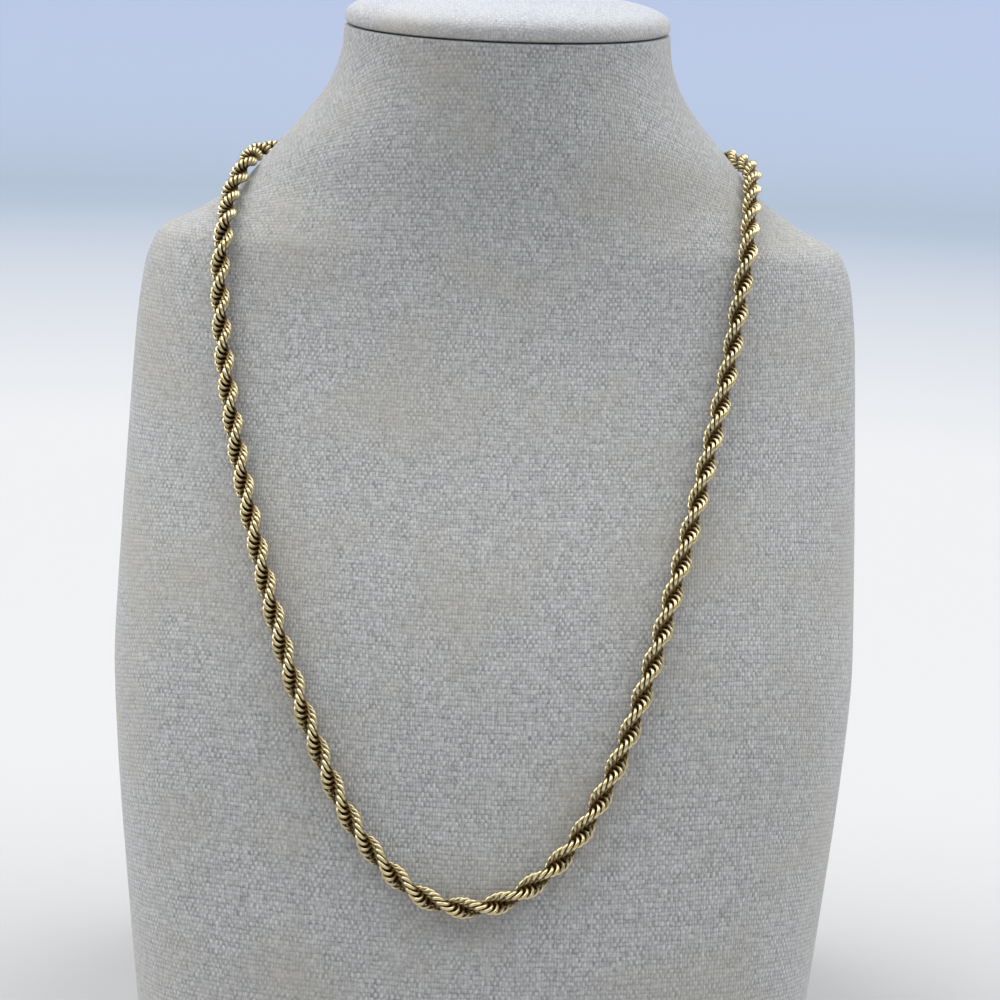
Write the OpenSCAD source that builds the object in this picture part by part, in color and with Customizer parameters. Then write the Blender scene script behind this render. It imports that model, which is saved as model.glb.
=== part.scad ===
// Rope chain necklace on a linen neck bust, in millimetres.
// The origin is the middle of the flat base; the chest faces -Y and Z is up.

/* [Bust] */
// Width across the widest part of the chest
bust_w = 178; // [165:1:200]
// Depth of the foot, front to back
bust_d = 153; // [140:1:175]
// Height from the foot to the middle of the neck's top
bust_h = 239; // [225:1:260]
// Diameter of the neck where it meets the cap
neck_d = 81; // [76:1:88]
// How far the neck's middle stands behind the middle of the foot
neck_set = 50; // [44:1:56]
// Forward tilt of the neck's top, in degrees
neck_tilt = 4; // [0:0.5:8]

/* [Cap] */
// Diameter of the cloth-covered cap
cap_d = 81; // [76:1:88]
// Height of the cap's domed top above its underside
cap_h = 8.4; // [7:0.1:10]
// Radius of the cap's lower edge
cap_hem = 1.6; // [1:0.1:2.2]
// Gap of the dark seam between neck and cap
cap_gap = 0.3; // [0.2:0.05:0.6]

/* [Chain] */
// Outer diameter of the rope chain
chain_d = 5; // [4.2:0.1:5.6]
// Clearance between the chain and the linen
chain_gap = 0.4; // [0.3:0.05:0.6]

/* [Clasp] */
// Diameter of the barrel clasp
clasp_d = 6.8; // [6.6:0.1:7.4]
// Length of the barrel clasp
clasp_l = 16; // [14:0.5:20]
// Depth of the cup that holds each end of the chain
cup_deep = 3; // [2:0.5:4]
// Clearance round a chain end in its cup
cup_gap = 0.2; // [0.1:0.05:0.25]
// Depth of the two turned grooves round the barrel
groove = 0.5; // [0.3:0.1:0.6]

/* [Hidden] */

linen = "#B4B1AB";
linen_pale = "#D2D0CC";
gold = "#C9A75E";

// Sections of the bust from foot to neck. Height is a share of bust_h. Width, front and back run
// from 0 at the neck's own size to 1 at the size of the chest or foot. Ridge is the share of
// neck_set at which the section is widest. Square is 2 for an ellipse and more for a fuller section.
HEIGHT = 0;
WIDTH = 1;
FRONT = 2;
BACK = 3;
RIDGE = 4;
SQUARE = 5;
sections = [
    [0.000, 0.800, 1.000, 1.000, 0.180, 3.20],
    [0.140, 0.880, 0.911, 0.980, 0.200, 3.20],
    [0.310, 0.970, 0.748, 0.950, 0.230, 3.20],
    [0.400, 1.000, 0.645, 0.890, 0.280, 3.10],
    [0.485, 1.000, 0.520, 0.830, 0.355, 2.90],
    [0.600, 1.000, 0.315, 0.670, 0.510, 2.65],
    [0.690, 1.000, 0.164, 0.500, 0.680, 2.40],
    [0.745, 0.985, 0.096, 0.370, 0.810, 2.20],
    [0.780, 0.930, 0.064, 0.285, 0.890, 2.10],
    [0.804, 0.720, 0.046, 0.230, 0.935, 2.05],
    [0.836, 0.495, 0.029, 0.150, 0.965, 2.00],
    [0.876, 0.325, 0.016, 0.070, 0.985, 2.00],
    [0.912, 0.167, 0.008, 0.030, 0.995, 2.00],
    [0.945, 0.060, 0.003, 0.010, 1.000, 2.00],
    [0.975, 0.012, 0.001, 0.000, 1.000, 2.00],
    [1.000, 0.000, 0.000, 0.000, 1.000, 2.00]
];
// Height share above which the neck leans over to its tilted top
lean_share = 0.9;
// Heights at which the bust's skin has a ring of points: wide apart on the chest, close above it
chest_share = 0.74;
chest_rings = 18;
neck_rings = 22;
skin_sides = 72;
// How far apart the skin is felt, in degrees and in height share, to find which way it faces
feel_angle = 1;
feel_share = 0.004;
// Depth of the rough foot that is sawn off flat
foot_cut = 2;
// How far a cut runs past the face it opens
cut_past = 1;

// The chain's route over the bust: angle round the bust, from 0 at the middle of the chest to 90
// at the right shoulder and 180 at the nape, and height as a percentage of bust_h.
route = [
    [-161, 87], [-141, 86.7], [-122.5, 86.2], [-107.5, 85.7], [-94.5, 85.4], [-85.5, 84.8],
    [-80, 83.2], [-76, 81.9], [-71.5, 80.4], [-67.8, 78.7], [-66.7, 76], [-65.9, 72.4],
    [-62.9, 66.2], [-55.9, 58.2], [-47, 50.2], [-38.1, 42.2], [-30.2, 35.1], [-22.7, 28.9],
    [-14.8, 24.5], [-7, 22], [2, 21.7], [10.5, 23.9], [18.2, 28], [25.9, 34.6], [34.3, 43.4],
    [43.1, 52], [51.8, 60.3], [58.3, 68.1], [60.7, 74.1], [62.4, 78.3], [65.9, 80.4],
    [71.4, 82.5], [77.5, 84.3], [87, 85.8], [102, 86.5], [119, 86.8], [138, 87], [161.5, 87]
];
rings_per_span = 2;
chain_sides = 8;

// Share of the barrel's length at which each groove lies, from its middle, and a groove's width
groove_share = 0.24;
groove_w = 0.8;
// Fullness of the cap's domed top: over its middle, and down to its side
dome_full = 3;
dome_side = 2.4;
dome_steps = 20;
hem_steps = 8;
// Roundness of the turned pieces
cap_sides = 96;
clasp_sides = 48;

function mix(a, b, t) = a + (b - a) * t;
function unit(v) = v / norm(v);
function sum(v, i = 0) = i < len(v) ? v[i] + sum(v, i + 1) : 0;

// A smooth curve through the sections, with no swell between them
last_span = len(sections) - 2;
function span_of(h) = sum([for (i = [1 : last_span]) h >= sections[i][HEIGHT] ? 1 : 0]);
function rise(i, c) =
    (sections[i + 1][c] - sections[i][c]) / (sections[i + 1][HEIGHT] - sections[i][HEIGHT]);
function slope(i, c) =
    let (below = rise(max(i - 1, 0), c), above = rise(min(i, last_span), c))
    below * above <= 0 ? 0 : 2 * below * above / (below + above);
function column(c, h) =
    let (
        i = span_of(h),
        w = sections[i + 1][HEIGHT] - sections[i][HEIGHT],
        t = (h - sections[i][HEIGHT]) / w
    )
    (2 * t^3 - 3 * t^2 + 1) * sections[i][c] + (t^3 - 2 * t^2 + t) * w * slope(i, c)
    + (3 * t^2 - 2 * t^3) * sections[i + 1][c] + (t^3 - t^2) * w * slope(i + 1, c);
function section(h) = [for (c = [HEIGHT : SQUARE]) c == HEIGHT ? h : column(c, h)];

// How far a height has gone from the upright chest to the tilted neck's top
function lean(h) = let (t = max(0, (h - lean_share) / (1 - lean_share))) t^2 * (3 - 2 * t);

// A point of the bust's skin on a section, at an angle round it
function skin_on(s, angle) =
    let (
        half = mix(neck_d, bust_w, s[WIDTH]) / 2,
        ridge_y = neck_set * s[RIDGE],
        front_y = mix(neck_set - neck_d / 2, -bust_d / 2, s[FRONT]),
        back_y = mix(neck_set + neck_d / 2, bust_d / 2, s[BACK]),
        reach = cos(angle) > 0 ? ridge_y - front_y : back_y - ridge_y,
        out = (abs(sin(angle) / half)^s[SQUARE] + abs(cos(angle) / reach)^s[SQUARE])
            ^ (-1 / s[SQUARE]),
        y = ridge_y - out * cos(angle)
    )
    [
        out * sin(angle),
        y,
        s[HEIGHT] * bust_h + lean(s[HEIGHT]) * tan(neck_tilt) * (y - neck_set)
    ];
function skin(angle, h) = skin_on(section(h), angle);
// A point that stands off the skin by a distance, square to it
function off_skin(angle, h, off) =
    let (
        across = skin(angle + feel_angle, h) - skin(angle - feel_angle, h),
        up = skin(angle, h + feel_share) - skin(angle, h - feel_share)
    )
    skin(angle, h) + off * unit(cross(across, up));

// Faces that close a stack of rings, each of n points, from the first ring to the last
function stack_faces(rings, n) = concat(
    [[for (j = [0 : n - 1]) j]],
    [[for (j = [n - 1 : -1 : 0]) (rings - 1) * n + j]],
    [for (i = [0 : rings - 2]) for (j = [0 : n - 1]) for (half = [0, 1])
        let (a = i * n + j, b = i * n + (j + 1) % n)
        half == 0 ? [a, a + n, b] : [b, a + n, b + n]]
);

ring_heights = concat(
    [for (i = [0 : chest_rings - 1]) chest_share * i / chest_rings],
    [for (i = [0 : neck_rings]) mix(chest_share, 1, i / neck_rings)]
);

module neck_bust() {
    skin_rings = [for (h = ring_heights) let (s = section(h))
        [for (j = [0 : skin_sides - 1]) skin_on(s, 360 * j / skin_sides)]];
    foot = [for (p = skin_rings[0]) p - [0, 0, foot_cut]];
    rings = concat([foot], skin_rings);
    color(linen)
    difference() {
        polyhedron(
            points = [for (ring = rings) for (p = ring) p],
            faces = stack_faces(len(rings), skin_sides),
            convexity = 6
        );
        translate([-bust_w, -bust_d, -2 * foot_cut])
            cube([2 * bust_w, 2 * bust_d, 2 * foot_cut]);
    }
}

module neck_cap() {
    hem_r = cap_d / 2 - cap_hem;
    hem = [for (i = [0 : hem_steps - 1])
        let (a = 90 * i / hem_steps)
        [hem_r + cap_hem * sin(a), cap_hem * (1 - cos(a))]];
    dome = [for (i = [0 : dome_steps])
        let (in = cos(90 * i / dome_steps))
        [cap_d / 2 * in, cap_hem + (cap_h - cap_hem) * (1 - in^dome_full)^(1 / dome_side)]];
    color(linen_pale)
    translate([0, neck_set, bust_h])
    rotate([neck_tilt, 0, 0])
    translate([0, 0, cap_gap])
    rotate_extrude($fn = cap_sides)
        polygon(concat([[0, 0]], hem, dome));
}

// The clasp lies across the nape, level with the route's first point, and the chain runs straight
// out of its cups
clasp_at = off_skin(180, route[0][1] / 100, clasp_d / 2 + chain_gap);
cup_floor = clasp_l / 2 - cup_deep;
mouth = [clasp_l / 2, 0, 0];
chain_end = [cup_floor + cup_gap, 0, 0];
chain_line = concat(
    [clasp_at - chain_end, clasp_at - mouth],
    [for (p = route) off_skin(p[0], p[1] / 100, chain_d / 2 + chain_gap)],
    [clasp_at + mouth, clasp_at + chain_end]
);
chain_last = len(chain_line) - 1;
function smooth(a, b, c, d, t) =
    0.5 * (2 * b + (c - a) * t + (2 * a - 5 * b + 4 * c - d) * t^2
        + (3 * b - a - 3 * c + d) * t^3);
chain_path = [for (i = [0 : chain_last])
    let (straight = i == 0 || i >= chain_last - 1)
    for (k = [0 : straight ? 0 : rings_per_span - 1])
        k == 0 ? chain_line[i]
        : smooth(chain_line[i - 1], chain_line[i], chain_line[i + 1], chain_line[i + 2],
            k / rings_per_span)];
path_last = len(chain_path) - 1;

module rope_chain() {
    rings = [for (i = [0 : path_last])
        let (
            along = unit(chain_path[min(i + 1, path_last)] - chain_path[max(i - 1, 0)]),
            outward = [chain_path[i].x, chain_path[i].y - neck_set, 0],
            side = unit(cross(along, outward)),
            up = cross(side, along)
        )
        [for (j = [0 : chain_sides - 1])
            let (a = 360 * (j + 0.5) / chain_sides)
            chain_path[i] + chain_d / 2 * (cos(a) * side + sin(a) * up)]];
    color(gold)
    polyhedron(
        points = [for (ring = rings) for (p = ring) p],
        faces = stack_faces(len(rings), chain_sides),
        convexity = 10
    );
}

module clasp() {
    color(gold)
    translate(clasp_at)
    rotate([0, 90, 0])
    rotate_extrude($fn = clasp_sides)
        difference() {
            translate([0, -clasp_l / 2]) square([clasp_d / 2, clasp_l]);
            for (end = [0, 1])
                mirror([0, end]) {
                    translate([0, cup_floor])
                        square([chain_d / 2 + cup_gap, cup_deep + cut_past]);
                    translate([clasp_d / 2 - groove, clasp_l * groove_share - groove_w / 2])
                        square([groove + cut_past, groove_w]);
                }
        }
}

neck_bust();
neck_cap();
rope_chain();
clasp();
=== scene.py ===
# A gold rope chain on a linen-covered neck bust.
import math
import bpy
import numpy as np
from mathutils import Matrix, Vector


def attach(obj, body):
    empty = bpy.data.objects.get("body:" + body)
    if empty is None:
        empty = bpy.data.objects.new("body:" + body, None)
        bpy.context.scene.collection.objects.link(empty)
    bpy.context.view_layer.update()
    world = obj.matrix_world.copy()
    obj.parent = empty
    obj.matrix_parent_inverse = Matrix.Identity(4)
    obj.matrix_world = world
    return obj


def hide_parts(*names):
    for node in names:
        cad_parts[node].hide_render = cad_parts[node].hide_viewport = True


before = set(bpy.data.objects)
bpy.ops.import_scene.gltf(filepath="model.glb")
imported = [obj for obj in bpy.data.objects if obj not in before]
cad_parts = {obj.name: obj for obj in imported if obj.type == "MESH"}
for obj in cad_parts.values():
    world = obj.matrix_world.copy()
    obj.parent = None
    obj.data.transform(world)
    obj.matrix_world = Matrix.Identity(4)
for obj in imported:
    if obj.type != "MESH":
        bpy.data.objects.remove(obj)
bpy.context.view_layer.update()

MM = 0.001

# Sizes, in millimetres
bust_w, bust_d, bust_h = 178, 153, 239
neck_d, neck_set, neck_tilt = 81, 50, 4
cap_d, cap_h, cap_hem, cap_gap = 81, 8.4, 1.6, 0.3
dome_full, dome_side = 3, 2.4
chain_d, chain_gap = 5, 0.4
clasp_d, clasp_l, cup_deep, cup_gap, groove, groove_w = 6.8, 16, 3, 0.2, 0.5, 0.8
groove_share = 0.24  # of the clasp's length, from its middle to each groove
lean_share = 0.9     # of the bust's height, above which it tips forward to the cap

# Height, width, front, back, ridge and squareness of the bust's level sections
sections = np.array([
    [0.000, 0.800, 1.000, 1.000, 0.180, 3.20],
    [0.140, 0.880, 0.911, 0.980, 0.200, 3.20],
    [0.310, 0.970, 0.748, 0.950, 0.230, 3.20],
    [0.400, 1.000, 0.645, 0.890, 0.280, 3.10],
    [0.485, 1.000, 0.520, 0.830, 0.355, 2.90],
    [0.600, 1.000, 0.315, 0.670, 0.510, 2.65],
    [0.690, 1.000, 0.164, 0.500, 0.680, 2.40],
    [0.745, 0.985, 0.096, 0.370, 0.810, 2.20],
    [0.780, 0.930, 0.064, 0.285, 0.890, 2.10],
    [0.804, 0.720, 0.046, 0.230, 0.935, 2.05],
    [0.836, 0.495, 0.029, 0.150, 0.965, 2.00],
    [0.876, 0.325, 0.016, 0.070, 0.985, 2.00],
    [0.912, 0.167, 0.008, 0.030, 0.995, 2.00],
    [0.945, 0.060, 0.003, 0.010, 1.000, 2.00],
    [0.975, 0.012, 0.001, 0.000, 1.000, 2.00],
    [1.000, 0.000, 0.000, 0.000, 1.000, 2.00],
])

# The chain's route over the bust: angle round it in degrees, and percentage of its height
route = [
    (-161, 87), (-141, 86.7), (-122.5, 86.2), (-107.5, 85.7), (-94.5, 85.4), (-85.5, 84.8),
    (-80, 83.2), (-76, 81.9), (-71.5, 80.4), (-67.8, 78.7), (-66.7, 76), (-65.9, 72.4),
    (-62.9, 66.2), (-55.9, 58.2), (-47, 50.2), (-38.1, 42.2), (-30.2, 35.1), (-22.7, 28.9),
    (-14.8, 24.5), (-7, 22), (2, 21.7), (10.5, 23.9), (18.2, 28), (25.9, 34.6), (34.3, 43.4),
    (43.1, 52), (51.8, 60.3), (58.3, 68.1), (60.7, 74.1), (62.4, 78.3), (65.9, 80.4),
    (71.4, 82.5), (77.5, 84.3), (87, 85.8), (102, 86.5), (119, 86.8), (138, 87), (161.5, 87),
]


# Small helpers
def linear(hex_colour):
    """An sRGB hex colour as the linear colour that a shader takes."""
    parts = [int(hex_colour[i:i + 2], 16) / 255 for i in (1, 3, 5)]
    return [p / 12.92 if p <= 0.04045 else ((p + 0.055) / 1.055) ** 2.4 for p in parts] + [1]


def add(tree, kind, inputs=None, **settings):
    """Add a node. Each input is given a value, or linked if it is another node's output."""
    node = tree.nodes.new(kind)
    for name, value in settings.items():
        setattr(node, name, value)
    for name, value in (inputs or {}).items():
        if isinstance(value, bpy.types.NodeSocket):
            tree.links.new(value, node.inputs[name])
        else:
            node.inputs[name].default_value = value
    return node


def mesh_object(name, points, faces):
    """An object with its points, given in millimetres, already in their place."""
    mesh = bpy.data.meshes.new(name)
    mesh.from_pydata([tuple(p) for p in np.asarray(points, float) * MM], [], faces)
    mesh.validate()
    for face in mesh.polygons:
        face.use_smooth = True
    thing = bpy.data.objects.new(name, mesh)
    bpy.context.scene.collection.objects.link(thing)
    return thing


# The bust's skin
heights = sections[:, 0]
# Slopes at the sections, for smooth curves between them that never overshoot
rises = np.diff(sections[:, 1:], axis=0) / np.diff(heights)[:, None]
below, above = np.vstack([rises[:1], rises]), np.vstack([rises, rises[-1:]])
slopes = np.where(
    below * above <= 0, 0,
    2 * below * above / np.where(below * above <= 0, 1, below + above))


def section(h):
    """Width, front, back, ridge and squareness at a share of the bust's height."""
    h = np.clip(np.asarray(h, float), 0, 1)
    i = np.clip(np.searchsorted(heights, h, side="right") - 1, 0, len(heights) - 2)
    w = heights[i + 1] - heights[i]
    t, w = ((h - heights[i]) / w)[..., None], w[..., None]
    return (
        (2 * t**3 - 3 * t**2 + 1) * sections[i, 1:] + (t**3 - 2 * t**2 + t) * w * slopes[i]
        + (3 * t**2 - 2 * t**3) * sections[i + 1, 1:] + (t**3 - t**2) * w * slopes[i + 1])


def skin(angle, h):
    """A point of the skin: angle 0 is the middle of the chest, 90 the +X shoulder."""
    angle = np.radians(np.asarray(angle, float))
    s = section(h)
    half = (neck_d + (bust_w - neck_d) * s[..., 0]) / 2
    front_y = neck_set - neck_d / 2 + (-bust_d / 2 - neck_set + neck_d / 2) * s[..., 1]
    back_y = neck_set + neck_d / 2 + (bust_d / 2 - neck_set - neck_d / 2) * s[..., 2]
    ridge_y = neck_set * s[..., 3]
    square = s[..., 4]
    reach = np.where(np.cos(angle) > 0, ridge_y - front_y, back_y - ridge_y)
    out = (np.abs(np.sin(angle) / half)**square + np.abs(np.cos(angle) / reach)**square
           )**(-1 / square)
    y = ridge_y - out * np.cos(angle)
    t = np.clip((np.asarray(h, float) - lean_share) / (1 - lean_share), 0, 1)
    z = np.asarray(h) * bust_h + t**2 * (3 - 2 * t) * math.tan(math.radians(neck_tilt)) * (
        y - neck_set)
    return np.stack(np.broadcast_arrays(out * np.sin(angle), y, z), -1)


def off_skin(angle, h, off):
    """A point that stands off the skin, square to it."""
    turn, rise = 1, 0.004  # small steps on the skin, in degrees and as a share of its height
    across = skin(angle + turn, h) - skin(angle - turn, h)
    up = skin(angle, h + rise) - skin(angle, h - rise)
    out = np.cross(across, up)
    return skin(angle, h) + off * out / np.linalg.norm(out)


# Camera, light and stage
def studio():
    """The photograph's camera, soft lights, a pale sky and a paper sweep under the bust."""
    scene = bpy.context.scene
    scene.view_settings.view_transform = "Standard"

    # The camera looks down 12 degrees at the chest from 550 mm, rolled as the photograph is
    look_down, roll, distance = math.radians(12), math.radians(2.2), 550
    aim = Vector((0, -21, 134))
    lens = bpy.data.cameras.new("Camera")
    lens.sensor_width = 36
    lens.lens = 86.4
    lens.shift_x = 0.0105
    lens.clip_start, lens.clip_end = 0.02, 60
    camera = bpy.data.objects.new("Camera", lens)
    scene.collection.objects.link(camera)
    back = Vector((0, -math.cos(look_down), math.sin(look_down)))
    camera.matrix_world = (
        Matrix.Translation((aim + back * distance) * MM)
        @ Matrix.Rotation(math.pi / 2 - look_down, 4, "X") @ Matrix.Rotation(roll, 4, "Z"))
    scene.camera = camera

    # Wide, soft lights far off, as in a pale room: one overhead, one high on each side behind.
    # Each has its place round the bust and its height in degrees, its width, strength and colour.
    for name, around, height, wide, power, colour in (
            ("Ceiling light", 180, 85, 90, 1.86, "#F1F7FF"),
            ("Left light", -110, 50, 60, 2.10, "#FDFDFF"),
            ("Right light", 110, 50, 60, 1.70, "#FDFDFF")):
        lamp = bpy.data.lights.new(name, "SUN")
        lamp.angle = math.radians(wide)
        lamp.energy = power
        lamp.color = linear(colour)[:3]
        holder = bpy.data.objects.new(name, lamp)
        scene.collection.objects.link(holder)
        a, e = math.radians(around), math.radians(height)
        toward = Vector((math.sin(a) * math.cos(e), -math.cos(a) * math.cos(e), math.sin(e)))
        holder.rotation_euler = toward.to_track_quat("Z", "Y").to_euler()

    world = bpy.data.worlds.new("Studio")
    scene.world = world
    world.use_nodes = True
    world.node_tree.nodes.clear()
    sky = add(world.node_tree, "ShaderNodeBackground", {
        "Color": linear("#FFFFFF"), "Strength": 0.19})
    add(world.node_tree, "ShaderNodeOutputWorld", {"Surface": sky.outputs[0]})

    # A round paper sweep: flat under and round the bust, curving up far behind it
    sides, bend_steps = 96, 12
    flat_r, bend_r, rise = 2200, 1400, 900
    bends = np.linspace(0, math.acos(1 - rise / bend_r), bend_steps + 1)
    rim = [(flat_r, 0)] + [
        (flat_r + bend_r * math.sin(b), bend_r * (1 - math.cos(b))) for b in bends[1:]]
    turns = 2 * np.pi * np.arange(sides) / sides
    points = [(r * math.cos(t), r * math.sin(t), z) for r, z in rim for t in turns]
    faces = [tuple(range(sides))]
    for i in range(len(rim) - 1):
        for j in range(sides):
            k = (j + 1) % sides
            faces.append((i * sides + k, i * sides + j, (i + 1) * sides + j, (i + 1) * sides + k))
    sweep = mesh_object("Paper sweep", points, faces)
    sweep.data.materials.append(sweep_paper())


def sweep_paper():
    """Seamless background paper: matt and pale, neutral underfoot and bluer far off. The tones
    change with the distance from the bust, in metres."""
    paper = bpy.data.materials.new("Background paper")
    paper.use_nodes = True
    tree = paper.node_tree
    tree.nodes.clear()
    place = add(tree, "ShaderNodeTexCoord")
    far = add(tree, "ShaderNodeVectorMath", {0: place.outputs["Object"]}, operation="LENGTH")
    blue = add(tree, "ShaderNodeMapRange", {
        "Value": far.outputs["Value"], "From Min": 0.8, "From Max": 2.2})
    tone = add(tree, "ShaderNodeMix", {
        "Factor": blue.outputs[0], "A": linear("#C0BFBD"), "B": linear("#8C97A4")},
        data_type="RGBA")
    haze = add(tree, "ShaderNodeMapRange", {
        "Value": far.outputs["Value"], "From Min": 2.35, "From Max": 3.05})
    backdrop = add(tree, "ShaderNodeMix", {
        "Factor": haze.outputs[0], "A": tone.outputs[2], "B": linear("#AAB5CD")},
        data_type="RGBA")
    shade = add(tree, "ShaderNodeBsdfPrincipled", {
        "Base Color": backdrop.outputs[2], "Roughness": 0.9})
    add(tree, "ShaderNodeOutputMaterial", {"Surface": shade.outputs[0]})
    return paper


# Materials
def woven_linen(name, shade_tone, thread_tone, warm_tone, thread, row, relief, painted_tint_radius=None):
    """Linen in plain weave: matt, its upright threads showing as pale dashes where they cross
    over the level ones, with thick and thin threads, a few brown flecks of husk and faint warm
    patches. thread and row are the spacings in mm. The last argument is a radius in mm from the
    middle: beyond it the cloth is warmed a little, painted light for the warmer light on a rim."""
    cloth = bpy.data.materials.new(name)
    cloth.use_nodes = True
    tree = cloth.node_tree
    tree.nodes.clear()
    lay = add(tree, "ShaderNodeUVMap", uv_map="cloth")  # in mm along and across the cloth

    def sums(operation, first, second=0.0, third=0.0):
        return add(tree, "ShaderNodeMath", {0: first, 1: second, 2: third},
                   operation=operation).outputs[0]

    def noise(scale_u, scale_v, detail, seed):
        place = add(tree, "ShaderNodeMapping", {
            "Vector": lay.outputs[0], "Location": (seed, seed * 1.7, 0),
            "Scale": (scale_u, scale_v, 1)})
        return add(tree, "ShaderNodeTexNoise", {
            "Vector": place.outputs[0], "Scale": 1.0, "Detail": detail, "Roughness": 0.6},
            noise_dimensions="2D").outputs["Fac"]

    def spread(value, low, high, to_low, to_high):
        return add(tree, "ShaderNodeMapRange", {
            "Value": value, "From Min": low, "From Max": high,
            "To Min": to_low, "To Max": to_high}).outputs[0]

    uv = add(tree, "ShaderNodeSeparateXYZ", {0: lay.outputs[0]})
    # Threads wander from side to side along their length, over at most this many spacings
    wander_u, wander_v = 1.2, 0.9
    drift_u = sums("MULTIPLY_ADD", noise(0.45, 0.12, 2, 3.1), wander_u, -wander_u / 2)
    drift_v = sums("MULTIPLY_ADD", noise(0.10, 0.35, 2, 11.7), wander_v, -wander_v / 2)
    across = sums("MULTIPLY_ADD", uv.outputs[0], 1 / thread, drift_u)
    along = sums("MULTIPLY_ADD", uv.outputs[1], 1 / row, drift_v)
    rib = sums("COSINE", sums("MULTIPLY", along, math.pi))
    stripe = sums("COSINE", sums("MULTIPLY", across, math.pi))
    thin = sums("MULTIPLY", stripe, sums("ABSOLUTE", stripe))
    crossing = sums("MULTIPLY", thin, rib)
    crown = sums("ABSOLUTE", crossing)
    # Each crossing of two threads is a little paler or darker than the next
    spot = add(tree, "ShaderNodeCombineXYZ", {
        "X": sums("ROUND", across), "Y": sums("ROUND", along)})
    own = add(tree, "ShaderNodeTexWhiteNoise", {"Vector": spot.outputs[0]},
              noise_dimensions="2D").outputs["Value"]
    crisp = spread(noise(0.14, 0.14, 2, 19.3), 0.35, 0.65, 0.10, 0.34)
    slubs = sums("ADD", noise(1 / thread, 0.25, 2, 23.0), noise(0.22, 1 / row, 2, 37.0))
    fibres = noise(1.6, 1.2, 2, 43.0)
    # Dark lines lie between the rows and, fainter, between the upright threads. middle brings
    # the sum of all these back to between 0, the shade's tone, and 1, the thread's.
    row_gap, thread_gap, middle = 0.36, 0.15, 0.99
    lines = sums("MULTIPLY_ADD", sums("POWER", sums("ABSOLUTE", rib), 0.5), row_gap,
                 sums("MULTIPLY", sums("ABSOLUTE", stripe), thread_gap))
    tone = sums("MULTIPLY_ADD", crossing, crisp, lines)
    for part, weight in ((own, 0.34), (slubs, 0.45), (fibres, 1.0)):
        tone = sums("MULTIPLY_ADD", part, weight, tone)
    tone = sums("SUBTRACT", tone, middle)
    colour = add(tree, "ShaderNodeMix", {
        "Factor": tone, "A": linear(shade_tone), "B": linear(thread_tone)}, data_type="RGBA")
    warm = add(tree, "ShaderNodeMix", {
        "Factor": spread(noise(0.03, 0.03, 3, 51.0), 0.45, 0.85, 0.0, 0.7),
        "A": colour.outputs[2], "B": linear(warm_tone)}, data_type="RGBA")
    flecked = add(tree, "ShaderNodeMix", {
        "Factor": spread(noise(0.9, 0.45, 1, 71.0), 0.80, 0.87, 0.0, 0.5),
        "A": warm.outputs[2], "B": linear("#6E6250")}, data_type="RGBA")
    cover = flecked
    # Painted light: beyond this radius the cloth is warmed, for the warmer light on the cap's rim
    if painted_tint_radius:
        fade = 4  # mm on each side of that radius, over which the cloth changes
        reach = add(tree, "ShaderNodeVectorMath", {0: lay.outputs[0]}, operation="LENGTH")
        cover = add(tree, "ShaderNodeMix", {
            "Factor": spread(reach.outputs["Value"], painted_tint_radius - fade, painted_tint_radius + fade, 0.0, 1.0),
            "A": flecked.outputs[2], "B": linear("#FFF7E8")},
            data_type="RGBA", blend_type="MULTIPLY")
    height = sums("MULTIPLY_ADD", own, 0.25, crown)
    bump = add(tree, "ShaderNodeBump", {
        "Strength": 0.8, "Distance": relief * MM, "Height": height})
    shade = add(tree, "ShaderNodeBsdfPrincipled", {
        "Base Color": cover.outputs[2], "Roughness": 0.88, "IOR": 1.45,
        "Sheen Weight": 0.25, "Sheen Roughness": 0.5, "Normal": bump.outputs[0]})
    add(tree, "ShaderNodeOutputMaterial", {"Surface": shade.outputs[0]})
    return cloth


def gold_plate(name, rough):
    """Yellow gold plate, polished and then worn: bright on the outside, its gloss softened in
    patches about a millimetre wide, brown deep in the rope from dirt and oxide and painted shade."""
    metal = bpy.data.materials.new(name)
    metal.use_nodes = True
    tree = metal.node_tree
    tree.nodes.clear()
    place = add(tree, "ShaderNodeTexCoord")
    wear = add(tree, "ShaderNodeTexNoise", {
        "Vector": place.outputs["Object"], "Scale": 900.0, "Detail": 2.0})
    gloss = add(tree, "ShaderNodeMapRange", {
        "Value": wear.outputs["Fac"], "From Min": 0.3, "From Max": 0.7,
        "To Min": rough - 0.05, "To Max": rough + 0.07})
    # The links' depth in the rope; without it, as on the clasp, there is no brown painted shade
    depth = add(tree, "ShaderNodeAttribute", attribute_name="depth")
    # Painted shade: brown deep in the rope, partly dirt and oxide, partly the shadow between
    # links
    tarnish_and_painted_shade = add(tree, "ShaderNodeMapRange", {
        "Value": depth.outputs["Fac"], "From Min": 0.24, "From Max": 0.56,
        "To Min": 0.0, "To Max": 1.0})
    # Bright gold, turning to the brown of painted shade and dirt deep in the rope
    tone = add(tree, "ShaderNodeMix", {
        "Factor": tarnish_and_painted_shade.outputs[0], "A": linear("#E1D0A2"), "B": linear("#4C3714")},
        data_type="RGBA")
    shade = add(tree, "ShaderNodeBsdfPrincipled", {
        "Base Color": tone.outputs[2], "Metallic": 1.0, "Roughness": gloss.outputs[0]})
    add(tree, "ShaderNodeOutputMaterial", {"Surface": shade.outputs[0]})
    return metal


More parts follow.
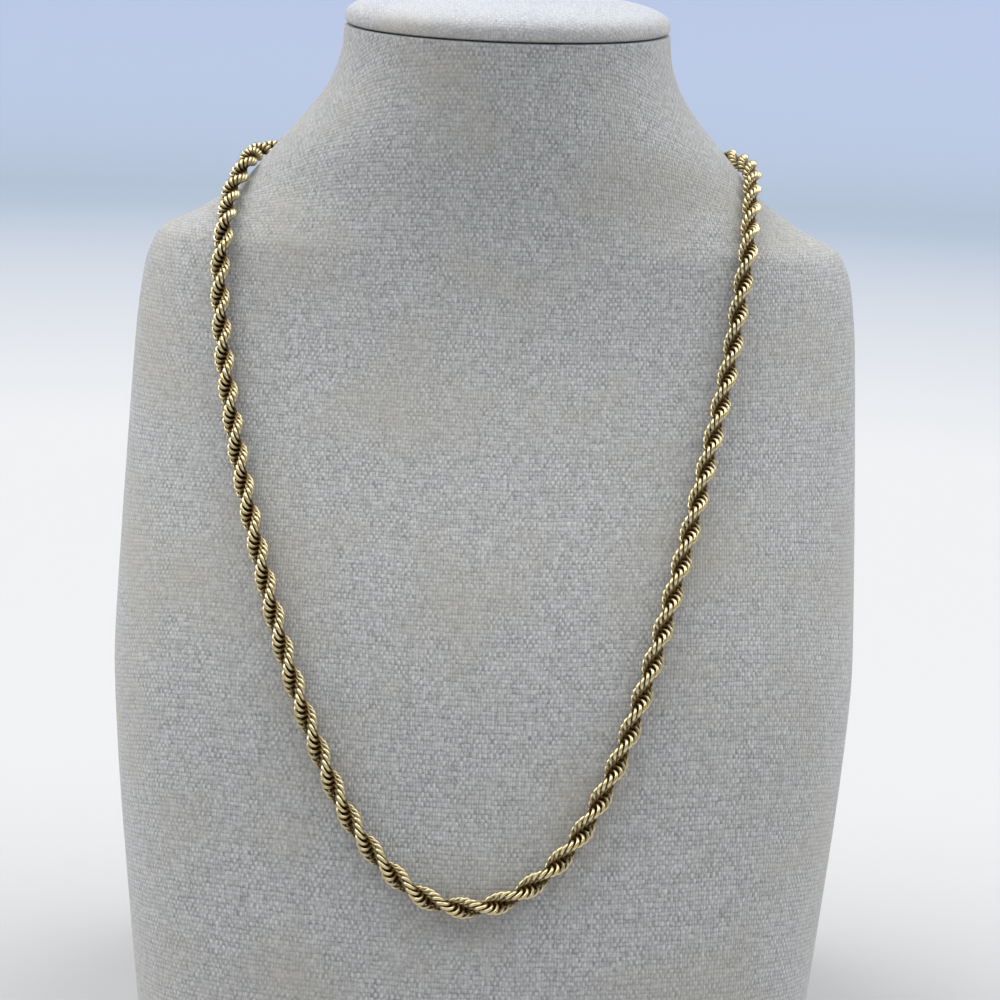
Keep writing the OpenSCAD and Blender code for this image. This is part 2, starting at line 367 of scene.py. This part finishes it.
# Neck bust
def neck_bust():
    """The moulded form with its linen glued on, the cloth turned in round the foot and neck."""
    sides = 180
    turn_in = 0.5  # radius of the cloth's edge at the foot and the neck
    back_cloth = 400  # where the back's cloth starts in the weave, past the end of the chest's
    shoulder, body_steps, neck_steps, bend_steps = 0.74, 55, 61, 4
    bends = np.linspace(0, np.pi / 2, bend_steps + 1)
    foot_h = turn_in * (1 - np.sin(bends)) / bust_h
    levels = [(h, turn_in * (1 - np.cos(b))) for h, b in zip(foot_h[::-1], bends[::-1])]
    levels += [(h, 0) for h in np.linspace(0, shoulder, body_steps + 1)[1:]]
    levels += [(h, 0) for h in np.linspace(shoulder, 1, neck_steps + 1)[1:-1]]
    levels += [(1 - h, inset) for h, inset in reversed(levels[:bend_steps + 1])]
    angles = np.linspace(-180, 180, sides + 1)
    rings = []
    for h, inset in levels:
        ring = skin(angles, h)
        middle = ring[:-1].mean(axis=0)
        outward = (ring - middle) * (1, 1, 0)
        rings.append(ring - inset * outward / np.linalg.norm(outward, axis=1)[:, None])
    grid = np.array(rings)
    # The cloth is laid from the middle of the chest and from the middle of the back to the sides
    run = np.zeros(grid.shape[:2])
    run[:, 1:] = np.cumsum(np.linalg.norm(np.diff(grid, axis=1), axis=2), axis=1)
    chest = run - run[:, sides // 2][:, None]
    back = back_cloth + np.where(np.arange(sides + 1) < sides // 2, run, run - run[:, -1:])
    up = np.zeros(grid.shape[:2])
    up[1:] = np.cumsum(np.linalg.norm(np.diff(grid, axis=0), axis=2), axis=0)
    up -= up[len(grid) // 2]

    points = grid[:, :-1].reshape(-1, 3)
    faces, corners = [], []
    for i in range(len(grid) - 1):
        for j in range(sides):
            k = (j + 1) % sides
            faces.append((i * sides + j, i * sides + k, (i + 1) * sides + k, (i + 1) * sides + j))
            lay = chest if sides // 4 <= j < sides * 3 // 4 else back
            corners += [(lay[c], up[c]) for c in ((i, j), (i, j + 1), (i + 1, j + 1), (i + 1, j))]
    last = (len(grid) - 1) * sides
    faces.append(tuple(range(sides))[::-1])
    faces.append(tuple(last + j for j in range(sides)))
    corners += [(chest[0, j], up[0, j]) for j in range(sides)][::-1]
    corners += [(chest[-1, j], up[-1, j]) for j in range(sides)]
    bust = mesh_object("linen_neck_bust", points, faces)
    cloth = bust.data.uv_layers.new(name="cloth")
    cloth.data.foreach_set("uv", np.array(corners, float).ravel())
    bust.data.materials.append(woven_linen(
        "Natural linen in plain weave", "#84847F", "#CDCBC6", "#AFA899", 0.65, 1.03, 0.12))
    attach(bust, "root")
    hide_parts("neck_bust")
    return bust


# Cap
def turned(name, profile, sides, place):
    """A closed turned piece from a profile of radius and height, with its cloth laid radially."""
    profile = np.array(profile, float)
    travel = np.concatenate([[0], np.cumsum(np.linalg.norm(np.diff(profile, axis=0), axis=1))])
    turns = 2 * np.pi * np.arange(sides + 1) / sides
    rows = profile[1:-1]
    points = [(0, 0, profile[0, 1])]
    points += [(r * math.cos(a), r * math.sin(a), z) for r, z in rows for a in turns[:-1]]
    points.append((0, 0, profile[-1, 1]))
    faces = []
    first, final = 1, len(points) - 1
    for j in range(sides):
        faces.append((0, first + (j + 1) % sides, first + j))
    for i in range(len(rows) - 1):
        for j in range(sides):
            a, b = first + i * sides + j, first + i * sides + (j + 1) % sides
            faces.append((a, b, b + sides, a + sides))
    top = first + (len(rows) - 1) * sides
    for j in range(sides):
        faces.append((top + j, top + (j + 1) % sides, final))
    piece = mesh_object(name, [place @ Vector(p) for p in points], faces)
    # Measured from the middle of the face that shows, which is the profile's last point
    back = travel[-1] - travel
    lay = [(0, 0)] * len(points)
    for i in range(len(rows)):
        for j in range(sides):
            lay[first + i * sides + j] = (
                back[i + 1] * math.cos(turns[j]), back[i + 1] * math.sin(turns[j]))
    lay[0] = (back[0], 0)
    cloth = piece.data.uv_layers.new(name="cloth")
    cloth.data.foreach_set("uv", np.array(
        [lay[loop.vertex_index] for loop in piece.data.loops], float).ravel())
    return piece


def arc(centre, radius, start, stop, steps):
    """Points of a profile on an arc, between two angles in degrees."""
    return [(centre[0] + radius * math.cos(math.radians(a)),
             centre[1] + radius * math.sin(math.radians(a)))
            for a in np.linspace(start, stop, steps)]


def neck_cap():
    """A round disc covered in paler linen, its top domed down to a turned-in lower edge."""
    top_r = cap_d / 2
    hem_steps, dome_steps = 9, 26
    profile = [(0, 0), (top_r / 2, 0)]
    profile += arc((top_r - cap_hem, cap_hem), cap_hem, -90, 0, hem_steps)[:-1]
    for turn in np.linspace(0, np.pi / 2, dome_steps):
        part = math.cos(turn)
        profile.append((top_r * part, cap_hem + (cap_h - cap_hem) * max(
            0, 1 - part**dome_full)**(1 / dome_side)))
    place = (Matrix.Translation((0, neck_set, bust_h))
             @ Matrix.Rotation(math.radians(neck_tilt), 4, "X")
             @ Matrix.Translation((0, 0, cap_gap)))
    cap = turned("linen_cap", profile, sides=144, place=place)
    # Painted light: the cap's cloth is tinted blue for the bluish light on its top, its rim
    # warmed back
    cap.data.materials.append(woven_linen(
        "Linen in plain weave, tinted blue as painted sky light", "#9C9EA2", "#CFD1D6", "#C9C7C1", 0.65, 0.9, 0.10,
        painted_tint_radius=40))
    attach(cap, "root")
    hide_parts("neck_cap")
    return cap


# Chain and clasp
clasp_at = off_skin(180, route[0][1] / 100, clasp_d / 2 + chain_gap)
cup_floor = clasp_l / 2 - cup_deep


def chain_line(lift, steps):
    """The chain's middle line from cup to cup, lifted off the linen by a distance."""
    x = np.array((1, 0, 0))
    marks = [clasp_at - x * (cup_floor + cup_gap), clasp_at - x * clasp_l / 2]
    marks += [off_skin(a, h / 100, lift) for a, h in route]
    marks += [clasp_at + x * clasp_l / 2, clasp_at + x * (cup_floor + cup_gap)]
    # A smooth curve through the marks: each stretch also follows the mark before and after it
    line = []
    for i in range(len(marks) - 1):
        a, b = marks[max(i - 1, 0)], marks[i]
        c, d = marks[i + 1], marks[min(i + 2, len(marks) - 1)]
        for t in np.arange(steps) / steps:
            line.append(0.5 * (2 * b + (c - a) * t + (2 * a - 5 * b + 4 * c - d) * t**2
                               + (3 * b - a - 3 * c + d) * t**3))
    return np.array(line + [marks[-1]])


link = {
    "Spacing": 0.56,        # from one link to the next along the chain
    "Ring radius": 1.55,    # to the middle of the wire
    "Wire radius": 0.39,
    "Offset": 0.66,         # of a ring's middle from the chain's
    "Lean": -10.0,          # of a ring against the chain, in degrees
    "Slant": 40.0,          # of a ring about its own long line, in degrees
    "Pitch": 16.3,          # length of one whole turn of the rope
    "Start": -104.0,        # turn of the first ring about the chain, in degrees
}
ring_sides, wire_sides = 12, 6  # few, as there are over a thousand links
line_steps = 14                 # straight pieces of the line between two points of the route


def link_tree(material):
    """Rings along a curve, each turned half a turn and a little more than the last."""
    tree = bpy.data.node_groups.new("Rope chain links", "GeometryNodeTree")
    shape = tree.interface
    shape.new_socket("Path", in_out="INPUT", socket_type="NodeSocketGeometry")
    for name, kind in (
            ("Links", "Int"), ("Ring sides", "Int"), ("Wire sides", "Int"),
            ("Ring radius", "Float"), ("Wire radius", "Float"), ("Offset", "Float"),
            ("Lean", "Float"), ("Slant", "Float"), ("Turn", "Float"), ("Start", "Float")):
        shape.new_socket(name, in_out="INPUT", socket_type="NodeSocket" + kind)
    shape.new_socket("Chain", in_out="OUTPUT", socket_type="NodeSocketGeometry")
    given = add(tree, "NodeGroupInput").outputs

    path = add(tree, "GeometryNodeSetCurveNormal", {"Curve": given["Path"]},
               mode="MINIMUM_TWIST")
    spots = add(tree, "GeometryNodeCurveToPoints", {
        "Curve": path.outputs[0], "Count": given["Links"]}, mode="COUNT")
    along = add(tree, "FunctionNodeAxesToRotation", {
        "Primary Axis": spots.outputs["Tangent"], "Secondary Axis": spots.outputs["Normal"]},
        primary_axis="Z", secondary_axis="X")
    number = add(tree, "GeometryNodeInputIndex")
    turn = add(tree, "ShaderNodeMath", {
        0: number.outputs[0], 1: given["Turn"], 2: given["Start"]}, operation="MULTIPLY_ADD")
    twist = add(tree, "FunctionNodeAxisAngleToRotation", {
        "Axis": (0, 0, 1), "Angle": turn.outputs[0]})
    facing = add(tree, "FunctionNodeRotateRotation", {
        "Rotation": along.outputs[0], "Rotate By": twist.outputs[0]}, rotation_space="LOCAL")

    ring = add(tree, "GeometryNodeCurvePrimitiveCircle", {
        "Resolution": given["Ring sides"], "Radius": given["Ring radius"]}, mode="RADIUS")
    wire = add(tree, "GeometryNodeCurvePrimitiveCircle", {
        "Resolution": given["Wire sides"], "Radius": given["Wire radius"]}, mode="RADIUS")
    loop = add(tree, "GeometryNodeCurveToMesh", {
        "Curve": ring.outputs[0], "Profile Curve": wire.outputs[0]})
    stand = add(tree, "ShaderNodeMath", {0: math.pi / 2, 1: given["Lean"]},
                operation="SUBTRACT")
    tilt = add(tree, "ShaderNodeCombineXYZ", {"X": stand.outputs[0]})
    slanted = add(tree, "ShaderNodeCombineXYZ", {"Y": given["Slant"]})
    shift = add(tree, "ShaderNodeCombineXYZ", {"X": given["Offset"]})
    swung = add(tree, "GeometryNodeTransform", {
        "Geometry": loop.outputs[0], "Rotation": slanted.outputs[0]})
    placed = add(tree, "GeometryNodeTransform", {
        "Geometry": swung.outputs[0], "Translation": shift.outputs[0],
        "Rotation": tilt.outputs[0]})
    # How deep in the rope each point lies: about 0 on its outside, 1 on its middle line
    spot = add(tree, "GeometryNodeInputPosition")
    flat = add(tree, "ShaderNodeVectorMath", {0: spot.outputs[0], 1: (1, 1, 0)},
               operation="MULTIPLY")
    out = add(tree, "ShaderNodeVectorMath", {0: flat.outputs[0]}, operation="LENGTH")
    reach = add(tree, "ShaderNodeMath", {0: given["Ring radius"], 1: given["Offset"]},
                operation="ADD")
    rim = add(tree, "ShaderNodeMath", {0: reach.outputs[0], 1: given["Wire radius"]},
              operation="ADD")
    share = add(tree, "ShaderNodeMath", {0: out.outputs["Value"], 1: rim.outputs[0]},
                operation="DIVIDE")
    depth = add(tree, "ShaderNodeMath", {0: 1.0, 1: share.outputs[0]}, operation="SUBTRACT")
    marked = add(tree, "GeometryNodeStoreNamedAttribute", {
        "Geometry": placed.outputs[0], "Name": "depth", "Value": depth.outputs[0]},
        data_type="FLOAT", domain="POINT")

    links = add(tree, "GeometryNodeInstanceOnPoints", {
        "Points": spots.outputs["Points"], "Instance": marked.outputs[0],
        "Rotation": facing.outputs[0]})
    real = add(tree, "GeometryNodeRealizeInstances", {0: links.outputs[0]})
    round_ = add(tree, "GeometryNodeSetShadeSmooth", {0: real.outputs[0]})
    metal = add(tree, "GeometryNodeSetMaterial", {
        "Geometry": round_.outputs[0], "Material": material})
    add(tree, "NodeGroupOutput", {"Chain": metal.outputs[0]})
    return tree


def rope_chain():
    """The whole loop of round wire links, two strands wound to the right."""
    line = chain_line(chain_d / 2 + chain_gap, line_steps)
    length = float(np.linalg.norm(np.diff(line, axis=0), axis=1).sum())
    count = round(length / link["Spacing"]) + 1
    curve = bpy.data.curves.new("path", "CURVE")
    curve.dimensions = "3D"
    spline = curve.splines.new("POLY")
    spline.points.add(len(line) - 1)
    spline.points.foreach_set("co", np.c_[line * MM, np.ones(len(line))].ravel())
    guide = bpy.data.objects.new("path", curve)
    bpy.context.scene.collection.objects.link(guide)

    gold = gold_plate("Polished yellow gold wire", 0.32)
    tree = link_tree(gold)
    maker = guide.modifiers.new("links", "NODES")
    maker.node_group = tree
    spacing = length / (count - 1)
    values = {
        "Links": count, "Ring sides": ring_sides, "Wire sides": wire_sides,
        "Ring radius": link["Ring radius"] * MM, "Wire radius": link["Wire radius"] * MM,
        "Offset": link["Offset"] * MM, "Lean": math.radians(link["Lean"]),
        "Slant": math.radians(link["Slant"]),
        "Turn": math.pi + 2 * math.pi * spacing / link["Pitch"],
        "Start": math.radians(link["Start"]),
    }
    for item in tree.interface.items_tree:
        if item.name in values:
            maker[item.identifier] = values[item.name]
    ready = bpy.context.evaluated_depsgraph_get()
    mesh = bpy.data.meshes.new_from_object(
        guide.evaluated_get(ready), preserve_all_data_layers=True, depsgraph=ready)
    guide.modifiers.remove(maker)
    bpy.data.objects.remove(guide)
    mesh.name = "rope_chain_links"
    mesh.materials.clear()
    mesh.materials.append(gold)
    mesh.polygons.foreach_set("material_index", np.zeros(len(mesh.polygons), int))
    chain = bpy.data.objects.new("rope_chain_links", mesh)
    bpy.context.scene.collection.objects.link(chain)
    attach(chain, "root")
    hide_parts("rope_chain")
    return chain


def clasp():
    """A plain barrel, its ends rounded over and its middle turned with two grooves."""
    half, r = clasp_l / 2, clasp_d / 2
    bore = chain_d / 2 + cup_gap
    lip, lip_steps = (r - bore) / 2, 9
    edge = 0.1  # bevel on each side of a groove
    profile = [(0, -cup_floor), (bore, -cup_floor), (bore, -half + lip)]
    profile += arc((bore + lip, -half + lip), lip, 180, 360, lip_steps)[1:-1]
    for side in (-1, 1):
        at = side * clasp_l * groove_share
        profile += [(r, at - groove_w / 2 - edge), (r - edge, at - groove_w / 2),
                    (r - groove, at - groove_w / 4), (r - groove, at + groove_w / 4),
                    (r - edge, at + groove_w / 2), (r, at + groove_w / 2 + edge)]
    profile += arc((bore + lip, half - lip), lip, 0, 180, lip_steps)[1:-1]
    profile += [(bore, half - lip), (bore, cup_floor), (0, cup_floor)]
    place = (Matrix.Translation(Vector(clasp_at)) @ Matrix.Rotation(math.pi / 2, 4, "Y"))
    barrel = turned("barrel_clasp", profile, sides=48, place=place)
    barrel.data.uv_layers.remove(barrel.data.uv_layers["cloth"])
    barrel.data.materials.append(gold_plate("Polished yellow gold barrel", 0.16))
    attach(barrel, "root")
    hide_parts("clasp")
    return barrel


studio()
neck_bust()
neck_cap()
rope_chain()
clasp()
